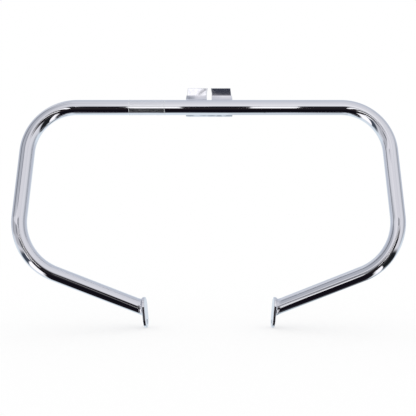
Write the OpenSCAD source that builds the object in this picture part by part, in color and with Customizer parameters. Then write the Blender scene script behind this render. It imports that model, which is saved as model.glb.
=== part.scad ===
// Motorcycle crash bars: one chromed steel tube bent into a hoop that stands in front of the engine.
// The top bar carries a notched plate on its back, and each lower arm ends in an obround bolt tab.
// +X is across the motorcycle, +Y points to its rear and +Z is up, as the guard is mounted.
// The origin is the seat of the notch in the upper plate, on the plate's rear face.

/* [Tube] */
// Outer diameter of the bent tube
tube_od = 32; // [28:0.5:38]
// Wall thickness of the bent tube
tube_wall = 2.5; // [1.5:0.1:4]

/* [Bent hoop] */
// Distance from the middle of the guard to the sharp upper corner of the tube's axis
upper_corner_x = 376; // [320:1:420]
// Distance from the middle of the guard to the sharp lower corner of the tube's axis
lower_corner_x = 401.5; // [350:0.5:450]
// How far the lower corner hangs below the top bar's axis
lower_corner_drop = 318; // [280:1:380]
// How far the lower corner stands in front of the top bar's axis
lower_corner_forward = 45; // [0:1:80]
// Radius of the tube's axis in the upper bends
upper_bend_radius = 103; // [70:1:120]
// Radius of the tube's axis in the lower bends
lower_bend_radius = 117; // [70:1:130]
// Distance from the middle of the guard to the end of an arm's axis, on the outer face of its tab
arm_end_x = 144; // [110:1:180]
// How far the end of an arm hangs below the top bar's axis
arm_end_drop = 431.5; // [400:0.5:480]
// How far the end of an arm stands behind the top bar's axis
arm_end_back = 36.5; // [0:0.5:80]

/* [Upper plate] */
// Width of the upper plate behind the top bar
plate_width = 96.5; // [70:1:130]
// Width of the upper plate at the tips of its two prongs
plate_tip_width = 91.5; // [50:0.5:95]
// Thickness of the upper plate
plate_thickness = 6; // [4:0.5:10]
// How far the prongs reach above the top bar's axis
plate_rise = 44; // [40:0.5:60]
// Height above the top bar's axis at which the sides start to lean in
plate_shoulder_rise = 20; // [0:1:30]
// How far the plate reaches below the underside of the top bar
plate_lower_lip = 1.3; // [0.5:0.1:4]

/* [Notch] */
// Width of the notch at its seat
notch_width = 10.8; // [8:0.1:14]
// Width of the notch between the tips of the prongs
notch_mouth_width = 6.8; // [4:0.1:8]
// Height of the notch's seat above the top bar's axis
notch_seat_rise = 20.4; // [18:0.1:26]
// Length of the notch's parallel sides above its seat
notch_parallel_length = 12.6; // [4:0.1:16]

/* [End tabs] */
// Width of an end tab from front to rear
tab_width = 42; // [38:1:50]
// Thickness of an end tab
tab_thickness = 6; // [4:0.5:10]
// How far a tab reaches above the end of its arm's axis
tab_rise = 23.5; // [23:0.5:32]
// How far a tab reaches below the end of its arm's axis
tab_drop = 43; // [40:0.5:60]
// Angle by which the rear of each tab turns in to the middle
tab_toe = 3; // [0:0.5:10]
// Angle by which each tab leans, so that its foot is nearer the middle
tab_lean = 5; // [0:0.5:8]
// Radius of the rounded edges of a tab
tab_edge_radius = 1; // [0.5:0.1:1.5]
// Diameter of the bolt hole in a tab
tab_hole_diameter = 11; // [8:0.5:12]
// How far the bolt hole lies below the end of its arm's axis
tab_hole_drop = 30; // [28:0.5:31]

/* [Welds] */
// Gap between the top bar and the upper plate that the welds bridge
root_gap = 0.3; // [0.1:0.1:0.5]
// Radius of the hollow face of the upper weld
upper_weld_radius = 13; // [12:0.5:20]
// How far the upper weld's hollow face cuts below the crest of the top bar
upper_weld_feather = 1; // [0.5:0.1:2]
// How far the lower weld starts behind the lowest line of the top bar
lower_weld_start = 3.5; // [2:0.5:6]
// Depth to which a plate weld reaches from the widest point of the top bar
weld_root = 6; // [4:0.5:8]
// How far a plate weld runs past each side of the plate
weld_overrun = 1.5; // [0:0.1:3]
// How far a tab weld spreads over the face of its tab
tab_weld_spread = 3; // [2:0.5:4]
// Length of a tab weld along its tube
tab_weld_length = 8; // [5:0.5:12]

/* [Clear film] */
// Length of the clear film along the top bar
film_length = 76; // [40:1:120]
// Distance from the middle of the guard to the middle of the film, on the left side
film_offset = 131.5; // [110:0.5:160]
// Thickness of the clear film
film_thickness = 0.3; // [0.2:0.1:0.5]
// Clearance between the film and the tube, which its adhesive fills
film_clearance = 0.3; // [0.2:0.1:0.5]
// Angle of the top bar that the film covers, centred on the front
film_wrap = 200; // [90:5:240]

/* [Hidden] */
$fn = 72;

chrome = [0.80, 0.81, 0.85];
film_tint = [0.92, 0.94, 0.96, 0.35];
tube_r = tube_od / 2;
bore_r = tube_r - tube_wall;
// Keeps cutting tools clear of the faces that they pass through
over = 1;
// A bend is drawn this much thinner than the straights, and runs this far into them, so that they join
joint_step = 0.02;
joint_overlap = 1;
// Size of the block that trims a tube at the face of its tab
trim_size = 4 * tube_od;

// The top bar's axis, seen from the origin on the rear face of the upper plate
bar_axis = [0, -(plate_thickness + root_gap + tube_r), -notch_seat_rise];

// Corners of the tube's axis on the right half, counted from the middle of the top bar
bar_middle = [0, 0, 0];
upper_corner = [upper_corner_x, 0, 0];
lower_corner = [lower_corner_x, -lower_corner_forward, -lower_corner_drop];
arm_end = [arm_end_x, arm_end_back, -arm_end_drop];

function unit(v) = v / norm(v);
arm_axis = unit(arm_end - lower_corner);

// Directions of the right-hand tab: out through its outer face, across it to the rear, and up it
tab_outward = [cos(tab_toe) * cos(tab_lean), sin(tab_toe) * cos(tab_lean), -sin(tab_lean)];
tab_rearward = [-sin(tab_toe), cos(tab_toe), 0];
tab_upward = cross(tab_outward, tab_rearward);
// The arm's direction measured along those three, and the angle at which it slants through the tab
arm_in_tab = [arm_axis * tab_outward, arm_axis * tab_rearward, arm_axis * tab_upward];
arm_slant = acos(-arm_in_tab.x);

// Heights and depths about the top bar's axis
plate_face = tube_r + root_gap;
plate_bottom = -tube_r - plate_lower_lip;
hollow_height = tube_r + upper_weld_radius - upper_weld_feather;

// Slices of a tab weld: the share of its length from the tab, then the share of its spread
tab_weld_flare = [[0, 1], [0.25, 0.45], [0.5, 0.2], [1, 0.08]];
weld_slice_height = 0.05;
// Facets round a bend's sweep, which also cut the tab welds, and round a slice of a tab weld
bend_facets = 180;
weld_facets = 48;
// How far the solid rods run on past the end of an arm's axis before they are trimmed
arm_run_on = tube_od;

// A bend rounds the corner b between a and c
function to_start(a, b) = unit(a - b);
function corner_angle(a, b, c) = acos(to_start(a, b) * to_start(c, b));
function tangent_length(a, b, c, radius) = radius / tan(corner_angle(a, b, c) / 2);
function bend_start(a, b, c, radius) = b + to_start(a, b) * tangent_length(a, b, c, radius);
function bend_end(a, b, c, radius) = b + to_start(c, b) * tangent_length(a, b, c, radius);
function bend_centre(a, b, c, radius) =
    b + unit(to_start(a, b) + to_start(c, b)) * radius / sin(corner_angle(a, b, c) / 2);

module rod(from, to, radius) {
    along = to - from;
    translate(from)
        rotate([0, acos(along.z / norm(along)), atan2(along.y, along.x)])
            cylinder(h = norm(along), r = radius);
}

// A bend rounds the corner b, and runs on a little way into the straights on both sides of it
module bend(a, b, c, bend_radius, radius) {
    centre = bend_centre(a, b, c, bend_radius);
    x_axis = unit(bend_start(a, b, c, bend_radius) - centre);
    z_axis = unit(cross(x_axis, bend_end(a, b, c, bend_radius) - centre));
    y_axis = cross(z_axis, x_axis);
    run_in = joint_overlap / bend_radius * 180 / PI;
    multmatrix([[x_axis.x, y_axis.x, z_axis.x, centre.x],
                [x_axis.y, y_axis.y, z_axis.y, centre.y],
                [x_axis.z, y_axis.z, z_axis.z, centre.z]])
        rotate([0, 0, -run_in])
            rotate_extrude(angle = 180 - corner_angle(a, b, c) + 2 * run_in, $fn = bend_facets)
                translate([bend_radius, 0])
                    circle(r = radius - joint_step);
}

// Repeats a right-hand shape on both sides
module both_sides() {
    children();
    mirror([1, 0, 0]) children();
}

// The hoop's whole length as a solid rod that runs on past the faces of the tabs
module hoop(radius) {
    upper_start = bend_start(bar_middle, upper_corner, lower_corner, upper_bend_radius);
    upper_end = bend_end(bar_middle, upper_corner, lower_corner, upper_bend_radius);
    lower_start = bend_start(upper_corner, lower_corner, arm_end, lower_bend_radius);
    lower_end = bend_end(upper_corner, lower_corner, arm_end, lower_bend_radius);
    rod(-upper_start, upper_start, radius);
    both_sides() {
        bend(bar_middle, upper_corner, lower_corner, upper_bend_radius, radius);
        rod(upper_end, lower_start, radius);
        bend(upper_corner, lower_corner, arm_end, lower_bend_radius, radius);
        rod(lower_end, arm_end + arm_axis * arm_run_on, radius);
    }
}

// Puts a shape at the end of the right arm: the tab's outer face is the plane x = 0
module at_arm_end() {
    translate(arm_end)
        rotate([0, tab_lean, tab_toe])
            children();
}

module guard_tube() {
    color(chrome)
        translate(bar_axis)
            difference() {
                hoop(tube_r);
                hoop(bore_r);
                both_sides()
                    at_arm_end()
                        translate([-trim_size, -trim_size / 2, -trim_size / 2])
                            cube(trim_size);
            }
}

// The plate's outline as seen from the front, with the top bar's axis at the origin
module plate_outline() {
    mouth_start = notch_seat_rise + notch_parallel_length;
    difference() {
        polygon([[-plate_width / 2, plate_bottom],
                 [plate_width / 2, plate_bottom],
                 [plate_width / 2, plate_shoulder_rise],
                 [plate_tip_width / 2, plate_rise],
                 [-plate_tip_width / 2, plate_rise],
                 [-plate_width / 2, plate_shoulder_rise]]);
        translate([0, notch_seat_rise])
            circle(d = notch_width);
        polygon([[-notch_width / 2, notch_seat_rise],
                 [notch_width / 2, notch_seat_rise],
                 [notch_width / 2, mouth_start],
                 [notch_mouth_width / 2, plate_rise],
                 [notch_mouth_width / 2, plate_rise + over],
                 [-notch_mouth_width / 2, plate_rise + over],
                 [-notch_mouth_width / 2, plate_rise],
                 [-notch_width / 2, mouth_start]]);
    }
}

module upper_plate() {
    color(chrome)
        translate([0, 0, bar_axis.z])
            rotate([90, 0, 0])
                linear_extrude(plate_thickness)
                    plate_outline();
}

// Section of an upper weld across the top bar: x runs to the rear and y runs up
module upper_weld_section() {
    difference() {
        polygon([[0, weld_root],
                 [plate_face, weld_root],
                 [plate_face, hollow_height],
                 [0, hollow_height]]);
        circle(r = tube_r);
        translate([plate_face - upper_weld_radius, hollow_height])
            circle(r = upper_weld_radius);
    }
}

// Section of the lower weld across the top bar: x runs to the rear and y runs up
module lower_weld_section() {
    difference() {
        polygon([[lower_weld_start, -weld_root],
                 [lower_weld_start, -sqrt(tube_r * tube_r - lower_weld_start * lower_weld_start)],
                 [plate_face, plate_bottom],
                 [plate_face, -weld_root]]);
        circle(r = tube_r);
    }
}

// Runs a weld's section along the top bar to the right
module along_bar(length) {
    rotate([90, 0, 90])
        linear_extrude(length)
            children();
}

// Outline that trims the welds, as seen from the front: it follows the sides of the plate
module weld_reach_outline() {
    half = plate_width / 2 + weld_overrun;
    tip_half = plate_tip_width / 2 + weld_overrun;
    polygon([[-half, plate_bottom - over],
             [half, plate_bottom - over],
             [half, plate_shoulder_rise],
             [tip_half, plate_rise],
             [-tip_half, plate_rise],
             [-half, plate_shoulder_rise]]);
}

module within_weld_reach() {
    intersection() {
        children();
        translate([0, plate_face + over, 0])
            rotate([90, 0, 0])
                linear_extrude(plate_face + 2 * over)
                    weld_reach_outline();
    }
}

// The right-hand upper weld, from the side of the notch to the side of the plate
module upper_weld() {
    within_weld_reach()
        translate([notch_width / 2, 0, 0])
            along_bar(plate_width / 2)
                upper_weld_section();
}

module upper_weld_right() {
    color(chrome)
        translate(bar_axis)
            upper_weld();
}

module upper_weld_left() {
    color(chrome)
        translate(bar_axis)
            mirror([1, 0, 0])
                upper_weld();
}

module lower_weld() {
    color(chrome)
        translate(bar_axis)
            within_weld_reach()
                translate([-plate_width, 0, 0])
                    along_bar(2 * plate_width)
                        lower_weld_section();
}

// Half section of a plate disc with rounded edges, for turning about its middle
module rounded_disc_section() {
    square([tab_width / 2 - tab_edge_radius, tab_thickness]);
    translate([0, tab_edge_radius])
        square([tab_width / 2, tab_thickness - 2 * tab_edge_radius]);
    for (height = [tab_edge_radius, tab_thickness - tab_edge_radius])
        translate([tab_width / 2 - tab_edge_radius, height])
            circle(r = tab_edge_radius);
}

// An end tab lying flat: x runs up the tab from the end of the arm's axis, z through its thickness
module flat_tab() {
    lower_centre = tab_width / 2 - tab_drop;
    upper_centre = tab_rise - tab_width / 2;
    difference() {
        union() {
            for (centre = [lower_centre, upper_centre])
                translate([centre, 0, 0])
                    rotate_extrude()
                        rounded_disc_section();
            translate([lower_centre, 0, 0])
                rotate([90, 0, 90])
                    linear_extrude(upper_centre - lower_centre) {
                        rounded_disc_section();
                        mirror([1, 0]) rounded_disc_section();
                    }
        }
        translate([-tab_hole_drop, 0, -over])
            cylinder(h = tab_thickness + 2 * over, d = tab_hole_diameter);
    }
}

// The right-hand end tab, with its outer face on the end of the arm
module end_tab() {
    at_arm_end()
        rotate([0, -90, 0])
            flat_tab();
}

module right_end_tab() {
    color(chrome)
        translate(bar_axis)
            end_tab();
}

module left_end_tab() {
    color(chrome)
        translate(bar_axis)
            mirror([1, 0, 0])
                end_tab();
}

// A slice of the tab weld, level with the tab's face: an oval round the slanting tube
module weld_slice(shares) {
    distance = tab_weld_length * shares[0];
    spread = tab_weld_spread * shares[1];
    translate(arm_in_tab * (distance / arm_in_tab.x))
        rotate([atan2(arm_in_tab.z, arm_in_tab.y), 0, 0])
            scale([1, 1 / cos(arm_slant), 1])
                rotate([0, 90, 0])
                    cylinder(h = weld_slice_height, r = tube_r + spread, $fn = weld_facets);
}

// The right-hand tab weld: a hollow-sided flare from the tab's face to the tube
module tab_weld() {
    difference() {
        at_arm_end()
            for (i = [0 : len(tab_weld_flare) - 2])
                hull() {
                    weld_slice(tab_weld_flare[i]);
                    weld_slice(tab_weld_flare[i + 1]);
                }
        rod(arm_end - arm_axis * arm_run_on, arm_end + arm_axis * arm_run_on, tube_r, $fn = bend_facets);
    }
}

module right_tab_weld() {
    color(chrome)
        translate(bar_axis)
            tab_weld();
}

module left_tab_weld() {
    color(chrome)
        translate(bar_axis)
            mirror([1, 0, 0])
                tab_weld();
}

module clear_film() {
    color(film_tint)
        translate(bar_axis)
            translate([-film_offset - film_length / 2, 0, 0])
                rotate([0, 90, 0])
                    rotate([0, 0, -90 - film_wrap / 2])
                        rotate_extrude(angle = film_wrap)
                            translate([tube_r + film_clearance, 0])
                                square([film_thickness, film_length]);
}

guard_tube();
upper_plate();
upper_weld_left();
upper_weld_right();
lower_weld();
left_end_tab();
right_end_tab();
left_tab_weld();
right_tab_weld();
clear_film();
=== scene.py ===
"""Looks of the chromed crash bars: bent tube, notched plate, welds, bolt tabs and film."""

import math
from typing import NamedTuple

import bpy
from mathutils import Matrix, Vector


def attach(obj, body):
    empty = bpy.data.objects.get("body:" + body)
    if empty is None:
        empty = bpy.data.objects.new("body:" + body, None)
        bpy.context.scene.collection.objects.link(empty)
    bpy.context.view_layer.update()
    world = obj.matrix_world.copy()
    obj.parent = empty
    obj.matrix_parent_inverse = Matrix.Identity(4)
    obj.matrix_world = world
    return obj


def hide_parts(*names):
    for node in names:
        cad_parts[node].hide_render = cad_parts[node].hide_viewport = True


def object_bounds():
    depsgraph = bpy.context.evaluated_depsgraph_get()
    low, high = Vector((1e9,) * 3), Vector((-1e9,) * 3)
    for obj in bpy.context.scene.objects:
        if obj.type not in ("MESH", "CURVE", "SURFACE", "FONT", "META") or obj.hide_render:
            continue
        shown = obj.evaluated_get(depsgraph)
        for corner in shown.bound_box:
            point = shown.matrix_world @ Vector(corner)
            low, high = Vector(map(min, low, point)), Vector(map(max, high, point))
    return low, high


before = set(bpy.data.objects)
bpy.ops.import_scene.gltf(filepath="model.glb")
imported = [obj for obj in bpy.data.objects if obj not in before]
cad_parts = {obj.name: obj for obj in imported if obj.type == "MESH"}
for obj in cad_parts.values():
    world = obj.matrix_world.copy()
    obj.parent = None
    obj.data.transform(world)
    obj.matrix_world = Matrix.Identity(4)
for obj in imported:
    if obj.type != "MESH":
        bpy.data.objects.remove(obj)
cad_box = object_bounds()

MM = 0.001

# The tube, the plate's thickness and the gap that the welds bridge between them
TUBE_RADIUS = 16 * MM
PLATE_THICKNESS = 6 * MM
ROOT_GAP = 0.3 * MM

# The notched plate, with heights counted from the top bar's axis
PLATE_HALF_WIDTH = 48.25 * MM
PLATE_TIP_HALF_WIDTH = 45.75 * MM
PLATE_TOP = 44 * MM
PLATE_SHOULDER = 20 * MM
PLATE_BOTTOM = -17.3 * MM
PLATE_EDGE_RADIUS = 0.8 * MM
NOTCH_RADIUS = 5.4 * MM
NOTCH_MOUTH_HALF_WIDTH = 3.4 * MM
NOTCH_SEAT = 20.4 * MM
NOTCH_MOUTH_START = 33 * MM

# The hoop: corners of the tube's axis on the right half. The origin is the notch's seat on the plate's rear
BAR_MIDDLE = Vector((0, -TUBE_RADIUS - ROOT_GAP - PLATE_THICKNESS, -NOTCH_SEAT))
UPPER_CORNER = BAR_MIDDLE + Vector((376, 0, 0)) * MM
LOWER_CORNER = BAR_MIDDLE + Vector((401.5, -45, -318)) * MM
ARM_END = BAR_MIDDLE + Vector((144, 36.5, -431.5)) * MM
UPPER_BEND_RADIUS = 103 * MM
LOWER_BEND_RADIUS = 117 * MM
ARM_AXIS = (ARM_END - LOWER_CORNER).normalized()

# The welds along the plate, with depths and heights counted from the top bar's axis
PLATE_FRONT = TUBE_RADIUS + ROOT_GAP
HOLLOW_RADIUS = 13 * MM
HOLLOW_CENTRE_HEIGHT = 28 * MM
WELD_ROOT = 6 * MM
WELD_OVERRUN = 1.5 * MM
LOWER_WELD_START = 3.5 * MM
UPPER_BEAD_EDGE_RADIUS = 0.5 * MM
LOWER_BEAD_EDGE_RADIUS = 0.4 * MM

# The bolt tabs, with places counted from the end of the arm's axis
TAB_TOE = math.radians(3)
TAB_LEAN = math.radians(5)
TAB_RADIUS = 21 * MM
TAB_THICKNESS = 6 * MM
TAB_RISE = 23.5 * MM
TAB_DROP = 43 * MM
TAB_EDGE_RADIUS = 1 * MM
BOLT_HOLE_RADIUS = 5.5 * MM
BOLT_HOLE_DROP = 30 * MM
TAB_REARWARD = Vector((-math.sin(TAB_TOE), math.cos(TAB_TOE), 0))
TAB_OUTWARD = Vector((math.cos(TAB_TOE) * math.cos(TAB_LEAN), math.sin(TAB_TOE) * math.cos(TAB_LEAN),
                      -math.sin(TAB_LEAN)))
TAB_UPWARD = TAB_OUTWARD.cross(TAB_REARWARD)

# The tab weld: share of its length from the tab, then share of its spread past the tube
TAB_WELD_LENGTH = 8 * MM
TAB_WELD_SPREAD = 3 * MM
TAB_WELD_FLARE = [(0, 1), (0.08, 0.78), (0.18, 0.57), (0.32, 0.36), (0.5, 0.2), (0.72, 0.1), (1, 0)]

# The clear film on the left of the top bar
FILM_LENGTH = 76 * MM
FILM_OFFSET = 131.5 * MM
FILM_THICKNESS = 0.3 * MM
FILM_CLEARANCE = 0.3 * MM
FILM_WRAP = math.radians(200)

# Facets that keep the polished shapes smooth
TUBE_SIDES = 96
BEAD_SIDES = 2 * TUBE_SIDES
FILM_SIDES = 180
BEND_STEPS = 60
HOLLOW_STEPS = 24
PLATE_EDGE_STEPS = 4
BEAD_EDGE_STEPS = 3

# Edges sharper than these are rounded, or stay sharp in the shading
PLATE_ROUNDED_ABOVE = math.radians(30)
SHARP_ABOVE = math.radians(40)
BEAD_SHARP_ABOVE = math.radians(50)
FLARE_SHARP_ABOVE = math.radians(60)

# Points closer than this are one point, and so are the points of a bead's section up to the second distance
ONE_PLACE = 0.01 * MM
ONE_PLACE_ON_BEAD = 0.2 * MM
# How far the drill stands out past the plate that it drills
DRILL_MARGIN = 1 * MM
# Slack on a cosine, so that rounding doesn't lose the points at the film's edges
WRAP_SLACK = 0.001

RIGHT = Vector((1, 0, 0))
FRONT = Vector((0, -1, 0))
UP = Vector((0, 0, 1))

# The photograph's camera: level, right of the guard's middle, with its lens and sensor in millimetres
CAMERA_PLACE = Vector((40, -1622.3, -234.3)) * MM
CAMERA_LENS = 65.02
CAMERA_SENSOR = 36
CAMERA_SHIFT = -0.0476

# The floor: its side in metres, and the share of its look that is plain white light
FLOOR_SIZE = 60
FLOOR_GLOW = 0.5


# Modelling

def settle(piece):
    """Puts a piece's place, turn and size into its mesh."""
    bpy.ops.object.mode_set(mode="OBJECT")
    bpy.ops.object.select_all(action="DESELECT")
    piece.select_set(True)
    bpy.context.view_layer.objects.active = piece
    bpy.ops.object.transform_apply(location=True, rotation=True, scale=True)


def start_ring(name, sides, radius, centre, facing):
    """Adds a ring that faces along a direction, and leaves it open for editing with all of it selected."""
    bpy.ops.object.select_all(action="DESELECT")
    turn = facing.to_track_quat("Z", "Y").to_euler()
    bpy.ops.mesh.primitive_circle_add(vertices=sides, radius=radius, location=centre, rotation=turn)
    piece = bpy.context.object
    piece.name = name
    settle(piece)
    bpy.ops.object.mode_set(mode="EDIT")
    bpy.ops.mesh.select_all(action="SELECT")
    return piece


def extrude(step):
    """Pulls what is selected out by a step."""
    bpy.ops.mesh.extrude_region_move(TRANSFORM_OT_translate={"value": step})


def choose(piece, mode, wanted):
    """Selects the vertices or the faces whose place the test wants."""
    bpy.ops.mesh.select_mode(type=mode)
    bpy.ops.mesh.select_all(action="DESELECT")
    bpy.ops.object.mode_set(mode="OBJECT")
    if mode == "VERT":
        for vertex in piece.data.vertices:
            vertex.select = wanted(vertex.co)
    else:
        for face in piece.data.polygons:
            face.select = wanted(face.center)
    bpy.ops.object.mode_set(mode="EDIT")


def choose_point(piece, point):
    """Selects the vertex that lies at a point."""
    choose(piece, "VERT", lambda at: (at - point).length < ONE_PLACE)


def lowest_point(piece):
    """Place of the lowest vertex of a piece that is being edited."""
    bpy.ops.object.mode_set(mode="OBJECT")
    places = [vertex.co.copy() for vertex in piece.data.vertices]
    bpy.ops.object.mode_set(mode="EDIT")
    return min(places, key=lambda at: at.z)


def draw_on(points, start):
    """Draws an outline on from the selected vertex, which lies at the start, through the points."""
    at = start
    for point in points:
        extrude(point - at)
        at = point


def close_outline(one_place):
    """Joins the points of an outline that count as one place, and fills it with one face."""
    bpy.ops.mesh.select_all(action="SELECT")
    bpy.ops.mesh.remove_doubles(threshold=one_place)
    bpy.ops.mesh.edge_face_add()


def face_outward():
    """Joins vertices that meet, and turns every face outward."""
    bpy.ops.mesh.select_mode(type="VERT")
    bpy.ops.mesh.select_all(action="SELECT")
    bpy.ops.mesh.remove_doubles(threshold=ONE_PLACE)
    bpy.ops.mesh.normals_make_consistent(inside=False)
    bpy.ops.object.mode_set(mode="OBJECT")


def trim(point, outward):
    """Cuts off what is selected beyond a plane, and closes the cut."""
    bpy.ops.mesh.bisect(plane_co=point, plane_no=outward, use_fill=True, clear_outer=True)


def trim_all(point, outward):
    """Cuts off all of the open piece beyond a plane, and closes the cut."""
    bpy.ops.mesh.select_all(action="SELECT")
    trim(point, outward)


def finish_with(piece, kind, **settings):
    """Adds a modifier and applies it."""
    modifier = piece.modifiers.new(kind.lower(), kind)
    for name, value in settings.items():
        setattr(modifier, name, value)
    bpy.context.view_layer.objects.active = piece
    bpy.ops.object.modifier_apply(modifier=modifier.name)


def mirror_across_middle(piece):
    """Adds the left half of a piece that was modelled on the right."""
    finish_with(piece, "MIRROR", use_mirror_merge=True, merge_threshold=ONE_PLACE)


def left_copy(piece, name):
    """A copy of a right-hand piece on the left side, with its own mesh."""
    bpy.ops.object.select_all(action="DESELECT")
    copy = piece.copy()
    copy.data = piece.data.copy()
    copy.name = name
    bpy.context.collection.objects.link(copy)
    copy.scale = (-1, 1, 1)
    settle(copy)
    bpy.ops.object.mode_set(mode="EDIT")
    face_outward()
    return copy


def polish(piece, sharp_above):
    """Shades a piece smooth, apart from edges sharper than the angle."""
    bpy.ops.object.select_all(action="DESELECT")
    piece.select_set(True)
    bpy.context.view_layer.objects.active = piece
    bpy.ops.object.shade_smooth_by_angle(angle=sharp_above)


def round_edges(piece, radius, steps, rounded_above):
    """Rounds the edges that are sharper than the angle."""
    finish_with(piece, "BEVEL", width=radius, segments=steps, limit_method="ANGLE",
                angle_limit=rounded_above)


def keep_faces_flat(plate):
    """Shades a plate's rounded edges smooth and its broad faces flat."""
    polish(plate, SHARP_ABOVE)
    finish_with(plate, "WEIGHTED_NORMAL", weight=100, keep_sharp=True)


def soften_plate(plate, radius):
    """Rounds a plate's edges, and keeps its broad faces flat in their shading."""
    round_edges(plate, radius, PLATE_EDGE_STEPS, PLATE_ROUNDED_ABOVE)
    keep_faces_flat(plate)


def soften_bead(bead, radius):
    """Rounds a bead's edges and shades it smooth."""
    round_edges(bead, radius, BEAD_EDGE_STEPS, BEAD_SHARP_ABOVE)
    polish(bead, BEAD_SHARP_ABOVE)


def bend_round(before, corner, after, radius):
    """Bends the tube's open end round a corner of its axis, from the straight before to the one after."""
    back = (before - corner).normalized()
    onward = (after - corner).normalized()
    half_angle = back.angle(onward) / 2
    centre = corner + (back + onward).normalized() * radius / math.sin(half_angle)
    axis = back.cross(onward).normalized()
    bpy.ops.mesh.spin(steps=BEND_STEPS, angle=math.pi - 2 * half_angle, center=centre, axis=axis)


def tangent_length(before, corner, after, radius):
    """Length of the axis between a corner and the start of its bend."""
    return radius / math.tan((before - corner).angle(after - corner) / 2)


def bent_tube():
    """The hoop in one piece: straight, bend, straight, bend and arm, then the same on the left."""
    upper_length = tangent_length(BAR_MIDDLE, UPPER_CORNER, LOWER_CORNER, UPPER_BEND_RADIUS)
    lower_length = tangent_length(UPPER_CORNER, LOWER_CORNER, ARM_END, LOWER_BEND_RADIUS)
    side = LOWER_CORNER - UPPER_CORNER
    arm = ARM_END - LOWER_CORNER
    spare_arm = 2 * TUBE_RADIUS
    tube = start_ring("bent_tube", TUBE_SIDES, TUBE_RADIUS, BAR_MIDDLE, RIGHT)
    extrude(UPPER_CORNER - BAR_MIDDLE - RIGHT * upper_length)
    bend_round(BAR_MIDDLE, UPPER_CORNER, LOWER_CORNER, UPPER_BEND_RADIUS)
    extrude(side.normalized() * (side.length - upper_length - lower_length))
    bend_round(UPPER_CORNER, LOWER_CORNER, ARM_END, LOWER_BEND_RADIUS)
    extrude(ARM_AXIS * (arm.length - lower_length + spare_arm))
    choose(tube, "FACE", lambda at: at.z < (LOWER_CORNER.z + ARM_END.z) / 2)
    trim(ARM_END, -TAB_OUTWARD)
    face_outward()
    mirror_across_middle(tube)
    polish(tube, SHARP_ABOVE)
    return tube


def notched_plate():
    """The plate behind the top bar, with a round-seated notch between its two prongs."""
    seat_centre = Vector((0, -PLATE_THICKNESS, BAR_MIDDLE.z + NOTCH_SEAT))
    plate = start_ring("notched_plate", TUBE_SIDES, NOTCH_RADIUS, seat_centre, FRONT)
    choose(plate, "VERT", lambda at: at.x < -ONE_PLACE or at.z > seat_centre.z + ONE_PLACE)
    bpy.ops.mesh.delete(type="VERT")
    seat_side = seat_centre + RIGHT * NOTCH_RADIUS
    choose_point(plate, seat_side)

    def at_front(x, height):
        return Vector((x, -PLATE_THICKNESS, BAR_MIDDLE.z + height))

    outline = [
        at_front(NOTCH_RADIUS, NOTCH_MOUTH_START),
        at_front(NOTCH_MOUTH_HALF_WIDTH, PLATE_TOP),
        at_front(PLATE_TIP_HALF_WIDTH, PLATE_TOP),
        at_front(PLATE_HALF_WIDTH, PLATE_SHOULDER),
        at_front(PLATE_HALF_WIDTH, PLATE_BOTTOM),
        at_front(0, PLATE_BOTTOM),
        at_front(0, NOTCH_SEAT - NOTCH_RADIUS),
    ]
    draw_on(outline, seat_side)
    close_outline(ONE_PLACE)
    extrude(-FRONT * PLATE_THICKNESS)
    choose(plate, "FACE", lambda at: abs(at.x) < ONE_PLACE)
    bpy.ops.mesh.delete(type="FACE")
    face_outward()
    mirror_across_middle(plate)
    soften_plate(plate, PLATE_EDGE_RADIUS)
    return plate


def across_bar(depth, height, x):
    """A point on a section across the top bar, from its depth and height about the bar's axis."""
    return Vector((x, BAR_MIDDLE.y + depth, BAR_MIDDLE.z + height))


def on_bar(offset):
    """The other offset from the bar's axis of a point on the tube's surface."""
    return math.sqrt(TUBE_RADIUS ** 2 - offset ** 2)


def start_bead(name, x, kept):
    """Starts a bead with the part of the bar's outline that the test keeps, and selects its lowest point."""
    bead = start_ring(name, BEAD_SIDES, TUBE_RADIUS, across_bar(0, 0, x), RIGHT)
    choose(bead, "VERT", lambda at: not kept(at))
    bpy.ops.mesh.delete(type="VERT")
    lowest = lowest_point(bead)
    choose_point(bead, lowest)
    return bead, lowest


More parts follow.
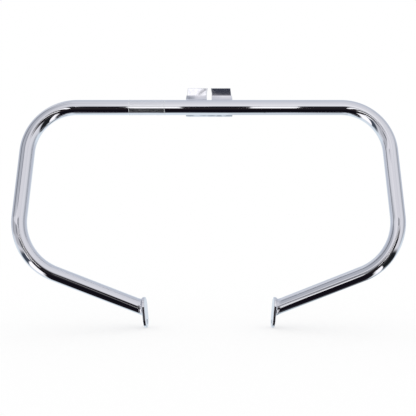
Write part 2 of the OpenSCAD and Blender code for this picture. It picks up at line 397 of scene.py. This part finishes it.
def upper_bead():
    """The right-hand weld above the top bar: a hollow-faced bead between the bar and a prong."""
    # The toe lies on the bar, level with the middle of the line from the bar's axis to the hollow's centre
    hollow_depth = PLATE_FRONT - HOLLOW_RADIUS
    half_gap = math.hypot(hollow_depth, HOLLOW_CENTRE_HEIGHT) / 2
    toe_angle = math.acos(half_gap / TUBE_RADIUS) + math.atan2(hollow_depth, HOLLOW_CENTRE_HEIGHT)
    toe = across_bar(TUBE_RADIUS * math.sin(toe_angle), TUBE_RADIUS * math.cos(toe_angle), NOTCH_RADIUS)
    root = across_bar(on_bar(WELD_ROOT), WELD_ROOT, NOTCH_RADIUS)
    bead, lowest = start_bead("right_upper_bead", NOTCH_RADIUS, lambda at: at.y >= toe.y and at.z >= root.z)
    outline = [
        root,
        across_bar(PLATE_FRONT, WELD_ROOT, NOTCH_RADIUS),
        across_bar(PLATE_FRONT, HOLLOW_CENTRE_HEIGHT, NOTCH_RADIUS),
    ]
    draw_on(outline, lowest)
    # The hollow face is swept from the plate until it points at the toe
    hollow_centre = across_bar(hollow_depth, HOLLOW_CENTRE_HEIGHT, NOTCH_RADIUS)
    sweep = math.acos((toe - hollow_centre).normalized().dot(-FRONT))
    bpy.ops.mesh.spin(steps=HOLLOW_STEPS, angle=sweep, center=hollow_centre, axis=RIGHT)
    close_outline(ONE_PLACE_ON_BEAD)
    extrude(RIGHT * PLATE_HALF_WIDTH)
    # Its outer end follows the prong's leaning side, then the plate's upright one
    across_prong_side = Vector((PLATE_TOP - PLATE_SHOULDER, 0, PLATE_HALF_WIDTH - PLATE_TIP_HALF_WIDTH))
    end = PLATE_HALF_WIDTH + WELD_OVERRUN
    trim_all(across_bar(0, PLATE_SHOULDER, end), across_prong_side.normalized())
    trim_all(across_bar(0, 0, end), RIGHT)
    face_outward()
    soften_bead(bead, UPPER_BEAD_EDGE_RADIUS)
    return bead


def lower_bead():
    """The weld under the top bar, along the foot of the plate."""
    end = PLATE_HALF_WIDTH + WELD_OVERRUN
    toe = across_bar(LOWER_WELD_START, -on_bar(LOWER_WELD_START), -end)
    root = across_bar(on_bar(WELD_ROOT), -WELD_ROOT, -end)
    bead, lowest = start_bead("lower_bead", -end, lambda at: at.y >= toe.y and at.z <= root.z)
    outline = [
        toe,
        across_bar(PLATE_FRONT, PLATE_BOTTOM, -end),
        across_bar(PLATE_FRONT, -WELD_ROOT, -end),
        root,
    ]
    draw_on(outline, lowest)
    close_outline(ONE_PLACE_ON_BEAD)
    extrude(RIGHT * 2 * end)
    face_outward()
    soften_bead(bead, LOWER_BEAD_EDGE_RADIUS)
    return bead


def bolt_tab():
    """The right-hand end tab: an obround plate with rounded edges and one bolt hole."""
    foot = ARM_END + TAB_UPWARD * (TAB_RADIUS - TAB_DROP)
    head = ARM_END + TAB_UPWARD * (TAB_RISE - TAB_RADIUS)
    hole = ARM_END - TAB_UPWARD * BOLT_HOLE_DROP
    tab = start_ring("right_bolt_tab", TUBE_SIDES, TAB_RADIUS, foot, TAB_OUTWARD)
    choose(tab, "VERT", lambda at: (at - foot).dot(TAB_UPWARD) > ONE_PLACE)
    bpy.ops.transform.translate(value=head - foot)
    bpy.ops.mesh.select_all(action="SELECT")
    bpy.ops.mesh.edge_face_add()
    extrude(-TAB_OUTWARD * TAB_THICKNESS)
    face_outward()
    drill = start_ring("drill", TUBE_SIDES, BOLT_HOLE_RADIUS, hole + TAB_OUTWARD * DRILL_MARGIN, TAB_OUTWARD)
    bpy.ops.mesh.edge_face_add()
    extrude(-TAB_OUTWARD * (TAB_THICKNESS + 2 * DRILL_MARGIN))
    face_outward()
    finish_with(tab, "BOOLEAN", operation="DIFFERENCE", object=drill)
    bpy.data.objects.remove(drill)
    soften_plate(tab, TAB_EDGE_RADIUS)
    return tab


def tab_weld():
    """The polished flare between the right arm and its tab: rings from the tab's face up to the tube."""
    slant = ARM_AXIS.angle(-TAB_OUTWARD)
    down_arm = (ARM_AXIS + TAB_OUTWARD * math.cos(slant)).normalized()
    across = TAB_OUTWARD.cross(down_arm)
    size = TUBE_RADIUS + TAB_WELD_SPREAD
    # A ring of radius 1 is laid on the tab as the outline of a slanted tube
    weld = start_ring("right_tab_weld_flare", TUBE_SIDES, 1, Vector((0, 0, 0)), UP)
    bpy.ops.object.mode_set(mode="OBJECT")
    place = Matrix((down_arm * size / math.cos(slant), across * size, TAB_OUTWARD)).transposed().to_4x4()
    place.translation = ARM_END
    weld.matrix_world = place
    settle(weld)
    bpy.ops.object.mode_set(mode="EDIT")
    bpy.ops.mesh.select_all(action="SELECT")
    centre = ARM_END
    for share, spread in TAB_WELD_FLARE[1:]:
        onward = ARM_END - ARM_AXIS * (share * TAB_WELD_LENGTH / math.cos(slant))
        extrude(onward - centre)
        new_size = TUBE_RADIUS + spread * TAB_WELD_SPREAD
        scale = new_size / size
        bpy.ops.transform.resize(value=(scale, scale, scale), center_override=onward)
        centre = onward
        size = new_size
    face_outward()
    polish(weld, FLARE_SHARP_ABOVE)
    return weld


def clear_film():
    """A thin clear film round the front of the top bar."""
    left_end = across_bar(0, 0, -FILM_OFFSET - FILM_LENGTH / 2)
    film = start_ring("bare_clear_film", FILM_SIDES, TUBE_RADIUS + FILM_CLEARANCE, left_end, RIGHT)
    wrap_cosine = math.cos(FILM_WRAP / 2) - WRAP_SLACK
    choose(film, "VERT", lambda at: (at - left_end).normalized().dot(FRONT) < wrap_cosine)
    bpy.ops.mesh.delete(type="VERT")
    bpy.ops.mesh.select_all(action="SELECT")
    extrude(RIGHT * FILM_LENGTH)
    face_outward()
    finish_with(film, "SOLIDIFY", thickness=FILM_THICKNESS, offset=1)
    polish(film, SHARP_ABOVE)
    return film


# Shading

class Signal:
    """One output of a shader node. Plain arithmetic on it adds Math nodes."""

    def __init__(self, recipe, socket):
        self.recipe = recipe
        self.socket = socket

    def math(self, operation, first, second=None):
        values = [first] if second is None else [first, second]
        return self.recipe.node("ShaderNodeMath", {"operation": operation}, dict(enumerate(values)))

    def __add__(self, other):
        return self.math("ADD", self, other)

    def __sub__(self, other):
        return self.math("SUBTRACT", self, other)

    def __rsub__(self, other):
        return self.math("SUBTRACT", other, self)

    def __mul__(self, other):
        return self.math("MULTIPLY", self, other)

    def __truediv__(self, other):
        return self.math("DIVIDE", self, other)

    def __neg__(self):
        return self.math("MULTIPLY", self, -1.0)

    def __abs__(self):
        return self.math("ABSOLUTE", self)

    __radd__ = __add__
    __rmul__ = __mul__


class Recipe:
    """A material's or world's nodes."""

    def __init__(self, owner):
        owner.use_nodes = True
        self.tree = owner.node_tree
        self.tree.nodes.clear()

    def node(self, kind, settings, inputs, output=0):
        """Adds a node with its settings and the values or links of its sockets, and gives one output."""
        made = self.tree.nodes.new(kind)
        for name, value in settings.items():
            if name == "stops":
                self.set_stops(made.color_ramp, value)
            else:
                setattr(made, name, value)
        for name, value in inputs.items():
            if isinstance(value, Signal):
                self.tree.links.new(value.socket, made.inputs[name])
            else:
                made.inputs[name].default_value = value
        return Signal(self, made.outputs[output]) if made.outputs else None

    def set_stops(self, ramp, stops):
        """Gives a colour ramp its positions and colours."""
        while len(ramp.elements) > 1:
            ramp.elements.remove(ramp.elements[-1])
        ramp.elements[0].position, ramp.elements[0].color = stops[0]
        for position, colour in stops[1:]:
            ramp.elements.new(position).color = colour

    def part(self, vector, axis):
        """One of a vector's three numbers."""
        return self.node("ShaderNodeSeparateXYZ", {}, {"Vector": vector}, axis)

    def fade(self, value, start, end):
        """Rises smoothly from 0 at the start to 1 at the end."""
        inputs = {"Value": value, "From Min": start, "From Max": end}
        return self.node("ShaderNodeMapRange", {"interpolation_type": "SMOOTHSTEP"}, inputs)

    def band(self, value, start, end, edge):
        """1 between the start and the end, fading out over the edge's width outside them."""
        return self.fade(value, start - edge, start) * (1 - self.fade(value, end, end + edge))

    def noise(self, place, scale, detail):
        """Cloudy noise about 0.5, with that many clouds to the metre and that many finer layers."""
        return self.node("ShaderNodeTexNoise", {}, {"Vector": place, "Scale": scale, "Detail": detail})

    def mix(self, share, first, second):
        """A colour between the first, at share 0, and the second, at share 1."""
        return self.node("ShaderNodeMix", {"data_type": "RGBA"}, {0: share, 6: first, 7: second}, 2)

    def end(self, kind, surface):
        """Ends the nodes in their output."""
        self.node(kind, {}, {"Surface": surface})


WHITE = (1, 1, 1, 1)

# Shades of the room that chrome shows, where values past 1 outshine the white background
BRIGHT_WHITE = (1.3, 1.28, 1.3, 1)
CARD_WHITE = (1.2, 1.18, 1.18, 1)
EDGE_WHITE = (1.25, 1.22, 1.24, 1)
LAMP_WHITE = (1.0, 0.99, 1.0, 1)
SOFT_WHITE = (1.0, 0.98, 0.98, 1)
PALE_GREY = (0.90, 0.89, 0.92, 1)
PALE_BLUE = (0.80, 0.88, 0.94, 1)
VEIL_GREY = (0.64, 0.65, 0.69, 1)
CORNER_GREY = (0.44, 0.45, 0.48, 1)
RIGHT_WALL_GREY = (0.42, 0.44, 0.48, 1)
LEFT_WALL_GREY = (0.40, 0.42, 0.47, 1)
PANEL_FOOT_GREY = (0.36, 0.35, 0.38, 1)
STREAK_GREY = (0.30, 0.30, 0.33, 1)
DIM_GREY = (0.29, 0.30, 0.33, 1)
SLIT_GREY = (0.20, 0.21, 0.25, 1)
NADIR_GREY = (0.16, 0.18, 0.20, 1)
DARK_BLUE = (0.06, 0.075, 0.10, 1)
GAP_DARK = (0.05, 0.06, 0.08, 1)
PRONG_BLUE = (0.045, 0.050, 0.072, 1)
FRONT_FLOOR_DARK = (0.024, 0.019, 0.022, 1)
FURNITURE_DARK = (0.02, 0.018, 0.022, 1)
SIDE_DARK = (0.016, 0.014, 0.018, 1)
RIGHT_EDGE_DARK = (0.012, 0.014, 0.016, 1)
FLOOR_DARK = (0.010, 0.008, 0.012, 1)
FRONT_DARK = (0.006, 0.005, 0.009, 1)

# The pale room by how far a direction points to the rear: brightest in front, blue-grey behind
ROOM_SHADES = [
    (0.02, (1.00, 0.96, 0.99, 1)),
    (0.06, (0.90, 0.88, 0.91, 1)),
    (0.10, (0.84, 0.83, 0.86, 1)),
    (0.35, (0.74, 0.74, 0.78, 1)),
    (0.52, (0.70, 0.72, 0.77, 1)),
    (0.76, (0.56, 0.59, 0.67, 1)),
    (1.00, (0.74, 0.80, 0.86, 1)),
]


class Panel(NamedTuple):
    """A soft-edged panel of the room that chrome shows.

    Bearings are in degrees to the right from straight in front, and heights in degrees above the level.
    The edges are the widths over which it fades out, along the bearing and the height. The tilt is the
    degrees of height that the panel gains for each degree of bearing.
    """
    bearings: tuple
    heights: tuple
    edges: tuple
    colour: tuple
    share: float = 1.0
    tilt: float = 0.0


ROOM_PANELS = [
    # Grey walls on both sides, the left one broader
    Panel(bearings=(-90, -44), heights=(23, 64), edges=(40, 5), colour=LEFT_WALL_GREY, share=0.75,
          tilt=0.125),
    Panel(bearings=(77, 95), heights=(-14, 15), edges=(8, 13), colour=RIGHT_WALL_GREY, share=0.8),
    # Dark gaps between the walls and the lights, and a dim slit left of the front
    Panel(bearings=(-90, -75), heights=(-6, 72), edges=(2, 5), colour=GAP_DARK, share=0.6),
    Panel(bearings=(92, 99), heights=(-24, 54), edges=(4, 5), colour=GAP_DARK, share=0.35),
    Panel(bearings=(-32, -27), heights=(16, 26), edges=(4, 1), colour=SLIT_GREY, share=0.95),
]
FRONT_PANELS = [
    # Two white cards low in the dark front
    Panel(bearings=(-7.5, -3.6), heights=(-18, 8), edges=(0.05, 1.5), colour=CARD_WHITE),
    Panel(bearings=(1.7, 5.25), heights=(-18, 8), edges=(0.05, 1.5), colour=CARD_WHITE),
    # The cards that light the arms' edges, and the dark one above the left of them
    Panel(bearings=(16.5, 19), heights=(-46, -14), edges=(0.5, 2), colour=SOFT_WHITE, share=0.9),
    Panel(bearings=(-27, -18), heights=(-26, -14), edges=(2, 1.5), colour=CARD_WHITE),
    Panel(bearings=(-36, -27), heights=(-1.5, 6), edges=(2, 1.5), colour=FURNITURE_DARK),
    # A dim panel at the left, a pale veil over the dark front, and a lamp above it
    Panel(bearings=(-68, -17), heights=(-18, 6.5), edges=(7, 2), colour=DIM_GREY, share=0.55),
    Panel(bearings=(-19, 30), heights=(6, 29), edges=(4, 2.5), colour=VEIL_GREY, share=0.55),
    Panel(bearings=(-7, 17), heights=(23.5, 29), edges=(5, 6), colour=LAMP_WHITE),
    # Dark furniture at the rear, on the right and in front, and a dim corner at the far back
    Panel(bearings=(142, 154), heights=(-55, -36), edges=(7, 5), colour=FURNITURE_DARK, share=0.85),
    Panel(bearings=(98, 127), heights=(-45, -30), edges=(7, 0.5), colour=SIDE_DARK, share=0.75),
    Panel(bearings=(9.5, 26), heights=(-32, 1), edges=(5, 7), colour=FURNITURE_DARK, share=0.8),
    Panel(bearings=(165, 179), heights=(-63, -45), edges=(2, 2), colour=CORNER_GREY, share=0.8),
    # A pale panel behind on the left
    Panel(bearings=(-150, -120), heights=(34, 55), edges=(3, 3), colour=PALE_GREY, share=0.5),
    # The white card that fills the left prong, with a grey streak across it
    Panel(bearings=(-3.6, -1.5), heights=(8.3, 9.3), edges=(0.1, 0.2), colour=BRIGHT_WHITE),
    Panel(bearings=(-2.2, -1.6), heights=(10.32, 10.5), edges=(0.05, 0.08), colour=STREAK_GREY, tilt=0.82),
    # The dim blue panel in the right prong, paler at its foot
    Panel(bearings=(-1.3, 2.5), heights=(8.2, 9.7), edges=(0.2, 0.3), colour=PRONG_BLUE),
    Panel(bearings=(-1.3, 2.5), heights=(8.3, 8.57), edges=(0.2, 0.06), colour=PANEL_FOOT_GREY),
]

# Behind and below, the room turns pale blue: how far a direction points to the rear and down
BLUE_REARWARD = (-0.1, 0.3)
BLUE_DOWNWARD = (0.0, 0.3)

# Bands below the sides. Their depth is how far a direction points down for each part that it points out,
# of which the level and the sideways parts have these shares
DEPTH_LEVEL_SHARE = 0.35
DEPTH_SIDEWAYS_SHARE = 0.65
SIDE_BANDS_END = (92, 128)
RIGHT_HALF = (-0.05, 0.05)
DARK_BAND_START = (0.44, 0.64)
DARK_BAND_END = 0.93
DARK_BAND_MORE_ON_RIGHT = 0.40
WHITE_BAND_EDGE = (-0.03, 0.05)
FLOOR_START = (1.80, 2.45)
FLOOR_END = (138, 155)
STRAIGHT_DOWN = (0.985, 0.998)

# The dark front, in degrees: a top that steps down to both sides, and sides that draw in further down
FRONT_TOP = 13
FRONT_STEP = 15.5
FRONT_STEP_BEARINGS = (11, 11.5)
FRONT_TOP_SLOPE = 0.05
FRONT_TOP_EDGE = 0.6
FRONT_SIDE = 28.5
FRONT_NARROWING = 7
FRONT_NARROWING_DEPTHS = (4, 33)
FRONT_SIDE_EDGE = 2
FRONT_FLOOR_HEIGHTS = (-32, -18)
FRONT_FLOOR_EDGE = 8


def studio_surroundings():
    """The white background, plain soft light, and the pale room with a dark front floor that metal shows."""
    world = bpy.data.worlds.new("studio")
    bpy.context.scene.world = world
    recipe = Recipe(world)
    direction = recipe.node("ShaderNodeTexCoord", {}, {}, "Generated")
    across = recipe.part(direction, "X")
    rearward = recipe.part(direction, "Y")
    upward = recipe.part(direction, "Z")
    level = recipe.node("ShaderNodeMath", {"operation": "SQRT"}, {0: across * across + rearward * rearward})
    to_degrees = 180 / math.pi
    bearing = recipe.node("ShaderNodeMath", {"operation": "ARCTAN2"}, {0: across, 1: -rearward}) * to_degrees
    height = recipe.node("ShaderNodeMath", {"operation": "ARCSINE"}, {0: upward}) * to_degrees
    off_front = abs(bearing)

    def hang(panels, room):
        for panel in panels:
            tilted = height - bearing * panel.tilt
            along_edge, upright_edge = panel.edges
            along = recipe.band(bearing, *panel.bearings, along_edge)
            upright = recipe.band(tilted, *panel.heights, upright_edge)
            room = recipe.mix(along * upright * panel.share, room, panel.colour)
        return room

    room = recipe.node("ShaderNodeValToRGB", {"stops": ROOM_SHADES}, {"Fac": (rearward + 1) * 0.5})
    room = hang(ROOM_PANELS, room)
    behind_below = recipe.fade(rearward, *BLUE_REARWARD) * recipe.fade(-upward, *BLUE_DOWNWARD)
    room = recipe.mix(behind_below, room, PALE_BLUE)

    # Bands on the outer sides below: a dark edge, a white edge, then the dark floor
    depth = -upward / (level * DEPTH_LEVEL_SHARE + abs(across) * DEPTH_SIDEWAYS_SHARE)
    below_sides = 1 - recipe.fade(off_front, *SIDE_BANDS_END)
    right = recipe.fade(across, *RIGHT_HALF)
    dark_shade = recipe.mix(right, DARK_BLUE, RIGHT_EDGE_DARK)
    room = recipe.mix(recipe.fade(depth, *DARK_BAND_START) * below_sides, room, dark_shade)
    dark_end = DARK_BAND_END + right * DARK_BAND_MORE_ON_RIGHT
    white_edge = recipe.fade(depth - dark_end, *WHITE_BAND_EDGE)
    room = recipe.mix(white_edge * below_sides, room, EDGE_WHITE)
    floor_reach = 1 - recipe.fade(off_front, *FLOOR_END)
    room = recipe.mix(recipe.fade(depth, *FLOOR_START) * floor_reach, room, FLOOR_DARK)
    room = recipe.mix(recipe.fade(-upward, *STRAIGHT_DOWN), room, NADIR_GREY)

    # The dark front, a shade lighter where the floor starts
    step = recipe.fade(off_front, *FRONT_STEP_BEARINGS) * FRONT_STEP
    front_top = FRONT_TOP - step - off_front * FRONT_TOP_SLOPE
    front_side = FRONT_SIDE - recipe.fade(-height, *FRONT_NARROWING_DEPTHS) * FRONT_NARROWING
    between_sides = recipe.fade(front_side - off_front, -FRONT_SIDE_EDGE, FRONT_SIDE_EDGE)
    under_top = recipe.fade(front_top - height, -FRONT_TOP_EDGE, FRONT_TOP_EDGE)
    floor_start = recipe.band(height, *FRONT_FLOOR_HEIGHTS, FRONT_FLOOR_EDGE)
    front_shade = recipe.mix(floor_start, FRONT_DARK, FRONT_FLOOR_DARK)
    room = recipe.mix(between_sides * under_top, room, front_shade)
    room = hang(FRONT_PANELS, room)

    is_glossy = recipe.node("ShaderNodeLightPath", {}, {}, "Is Glossy Ray")
    seen = recipe.mix(is_glossy, WHITE, room)
    background = recipe.node("ShaderNodeBackground", {}, {"Color": seen, "Strength": 1.0})
    recipe.end("ShaderNodeOutputWorld", background)


# The chrome's finish: clouds in its shade, a fine haze in its roughness and slow waves in its surface.
# Scales are in clouds to the metre, and relief in parts of the bump's distance
TUBE_CLEAR = (0.82, 0.83, 0.87, 1)
TUBE_CLOUDY = (0.79, 0.80, 0.84, 1)
TUBE_CLOUD_SCALE = 22.0
PLATE_CLEAR = (0.94, 0.95, 0.98, 1)
PLATE_CLOUDY = (0.60, 0.61, 0.66, 1)
PLATE_CLOUD_SCALE = 160.0
CLOUD_DETAIL = 3.0
HAZE_SCALE = 260.0
HAZE_DETAIL = 4.0
POLISH_ROUGHNESS = 0.02
HAZE_ROUGHNESS = 0.025
WAVE_SCALE = 55.0
WAVE_DETAIL = 1.0
WAVE_RELIEF = 0.03
RELIEF_DISTANCE = 0.1 * MM

# The welds' swells and ripples, and the painted dark reflections in spots on the underside of the lower
# bead, with heights in the frame
WELD_CLEAR = (0.78, 0.79, 0.84, 1)
WELD_PAINTED_DARK = (0.22, 0.23, 0.27, 1)
SWELL_SCALE = 60.0
SWELL_RELIEF = 6.0
RIPPLE_SCALE = 120.0
RIPPLE_DISTORTION = 2.5
WELD_DETAIL = 2.0
UNDERSIDE_HEIGHTS = (-45 * MM, -34 * MM)
UNDERSIDE_EDGE = 6 * MM
LEAST_PAINTED_DARK = 0.25
DARKENED_SWELLS = (0.44, 0.56)


def end_in_chrome(recipe, place, colour, weld_relief):
    """Ends a material in bright chrome with a polishing haze, slow waves and a weld's relief, 0 for none."""
    roughness = POLISH_ROUGHNESS + recipe.noise(place, HAZE_SCALE, HAZE_DETAIL) * HAZE_ROUGHNESS
    relief = recipe.noise(place, WAVE_SCALE, WAVE_DETAIL) * WAVE_RELIEF + weld_relief
    bump = recipe.node("ShaderNodeBump", {}, {
        "Strength": 1.0, "Distance": RELIEF_DISTANCE, "Height": relief})
    surface = recipe.node("ShaderNodeBsdfPrincipled", {}, {
        "Base Color": colour, "Metallic": 1.0, "Roughness": roughness, "Normal": bump})
    recipe.end("ShaderNodeOutputMaterial", surface)


def clouded_chrome(name, clear, cloudy, cloud_scale):
    """Chrome plate whose shade drifts between two."""
    material = bpy.data.materials.new(name)
    recipe = Recipe(material)
    place = recipe.node("ShaderNodeTexCoord", {}, {}, "Object")
    clouds = recipe.noise(place, cloud_scale, CLOUD_DETAIL)
    end_in_chrome(recipe, place, recipe.mix(clouds, cloudy, clear), 0)
    return material


def rippled_weld_chrome():
    """Chrome plate over a dressed weld, with painted dark reflections in spots on the underside of the lower
    bead.
    """
    material = bpy.data.materials.new("rippled_weld_chrome")
    recipe = Recipe(material)
    place = recipe.node("ShaderNodeTexCoord", {}, {}, "Object")
    swells = recipe.noise(place, SWELL_SCALE, WELD_DETAIL)
    ripples = recipe.node("ShaderNodeTexWave", {"bands_direction": "X"}, {
        "Vector": place, "Scale": RIPPLE_SCALE, "Distortion": RIPPLE_DISTORTION, "Detail": WELD_DETAIL})
    # Painted dark reflections: the lower bead's underside is darkened in spots where the swells rise
    underside = recipe.band(recipe.part(place, "Z"), *UNDERSIDE_HEIGHTS, UNDERSIDE_EDGE)
    painted_dark = LEAST_PAINTED_DARK + recipe.fade(swells, *DARKENED_SWELLS) * (1 - LEAST_PAINTED_DARK)
    colour = recipe.mix(painted_dark * underside, WELD_CLEAR, WELD_PAINTED_DARK)
    end_in_chrome(recipe, place, colour, swells * SWELL_RELIEF + ripples)
    return material


# The film's plastic: nearly clear, with a faint haze, and white at its cut edges
FILM_TINT = (0.92, 0.94, 0.96, 1)
FILM_REFRACTION = 1.46
FILM_HAZE_SCALE = 90.0
FILM_HAZE_DETAIL = 3.0
FILM_ROUGHNESS = 0.08
FILM_HAZE_ROUGHNESS = 0.06
FILM_OPACITY = 0.015
FILM_HAZE_OPACITY = 0.02
FILM_EDGE_OPACITY = 0.5
FILM_EDGE_START = 0.9 * MM
FILM_EDGE_FULL = 0.3 * MM


def film_plastic():
    """Clear glossy film whose cut edges catch the light."""
    material = bpy.data.materials.new("clear_film_plastic")
    recipe = Recipe(material)
    place = recipe.node("ShaderNodeTexCoord", {}, {}, "Object")
    from_middle = abs(recipe.part(place, "X") + FILM_OFFSET)
    half = FILM_LENGTH / 2
    edge = recipe.fade(from_middle, half - FILM_EDGE_START, half - FILM_EDGE_FULL)
    haze = recipe.noise(place, FILM_HAZE_SCALE, FILM_HAZE_DETAIL)
    roughness = FILM_ROUGHNESS + haze * FILM_HAZE_ROUGHNESS
    alpha = FILM_OPACITY + haze * FILM_HAZE_OPACITY + edge * FILM_EDGE_OPACITY
    surface = recipe.node("ShaderNodeBsdfPrincipled", {}, {
        "Base Color": FILM_TINT, "Roughness": roughness, "IOR": FILM_REFRACTION, "Alpha": alpha})
    recipe.end("ShaderNodeOutputMaterial", surface)
    return material


def dress(piece, material, node):
    """Gives a finished piece its material and its body, and hides the CAD part that it stands in for."""
    piece.data.materials.clear()
    piece.data.materials.append(material)
    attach(piece, "root")
    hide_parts(node)


def pale_floor(height):
    """A white floor that keeps the guard's soft shadow."""
    bpy.ops.object.select_all(action="DESELECT")
    bpy.ops.mesh.primitive_plane_add(size=FLOOR_SIZE, location=(0, 0, height))
    floor = bpy.context.object
    floor.name = "pale_floor"
    settle(floor)
    floor.visible_glossy = False
    material = bpy.data.materials.new("white_floor")
    recipe = Recipe(material)
    matt = recipe.node("ShaderNodeBsdfDiffuse", {}, {"Color": WHITE})
    glow = recipe.node("ShaderNodeEmission", {}, {"Color": WHITE, "Strength": 1.0})
    is_camera = recipe.node("ShaderNodeLightPath", {}, {}, "Is Camera Ray")
    surface = recipe.node("ShaderNodeMixShader", {}, {0: is_camera * FLOOR_GLOW, 1: matt, 2: glow})
    recipe.end("ShaderNodeOutputMaterial", surface)
    floor.data.materials.append(material)


def photograph_camera():
    """A level camera in front of the guard, a little to the right of its middle."""
    camera = bpy.data.cameras.new("camera")
    camera.lens = CAMERA_LENS
    camera.sensor_width = CAMERA_SENSOR
    camera.shift_x = CAMERA_SHIFT
    holder = bpy.data.objects.new("camera", camera)
    holder.location = CAMERA_PLACE
    holder.rotation_euler = (math.pi / 2, 0, 0)
    bpy.context.scene.collection.objects.link(holder)
    bpy.context.scene.camera = holder


photograph_camera()
studio_surroundings()
bpy.context.scene.view_settings.view_transform = "Standard"

tube_chrome = clouded_chrome("polished_chrome", TUBE_CLEAR, TUBE_CLOUDY, TUBE_CLOUD_SCALE)
plate_chrome = clouded_chrome("mottled_plate_chrome", PLATE_CLEAR, PLATE_CLOUDY, PLATE_CLOUD_SCALE)
weld_chrome = rippled_weld_chrome()

dress(bent_tube(), tube_chrome, "guard_tube")
dress(notched_plate(), plate_chrome, "upper_plate")

right_bead = upper_bead()
dress(left_copy(right_bead, "left_upper_bead"), weld_chrome, "upper_weld_left")
dress(right_bead, weld_chrome, "upper_weld_right")
dress(lower_bead(), weld_chrome, "lower_weld")

right_tab = bolt_tab()
left_tab = left_copy(right_tab, "left_bolt_tab")
keep_faces_flat(left_tab)
dress(left_tab, tube_chrome, "left_end_tab")
dress(right_tab, tube_chrome, "right_end_tab")

right_flare = tab_weld()
dress(left_copy(right_flare, "left_tab_weld_flare"), weld_chrome, "left_tab_weld")
dress(right_flare, weld_chrome, "right_tab_weld")

dress(clear_film(), film_plastic(), "clear_film")

pale_floor(cad_box[0].z)
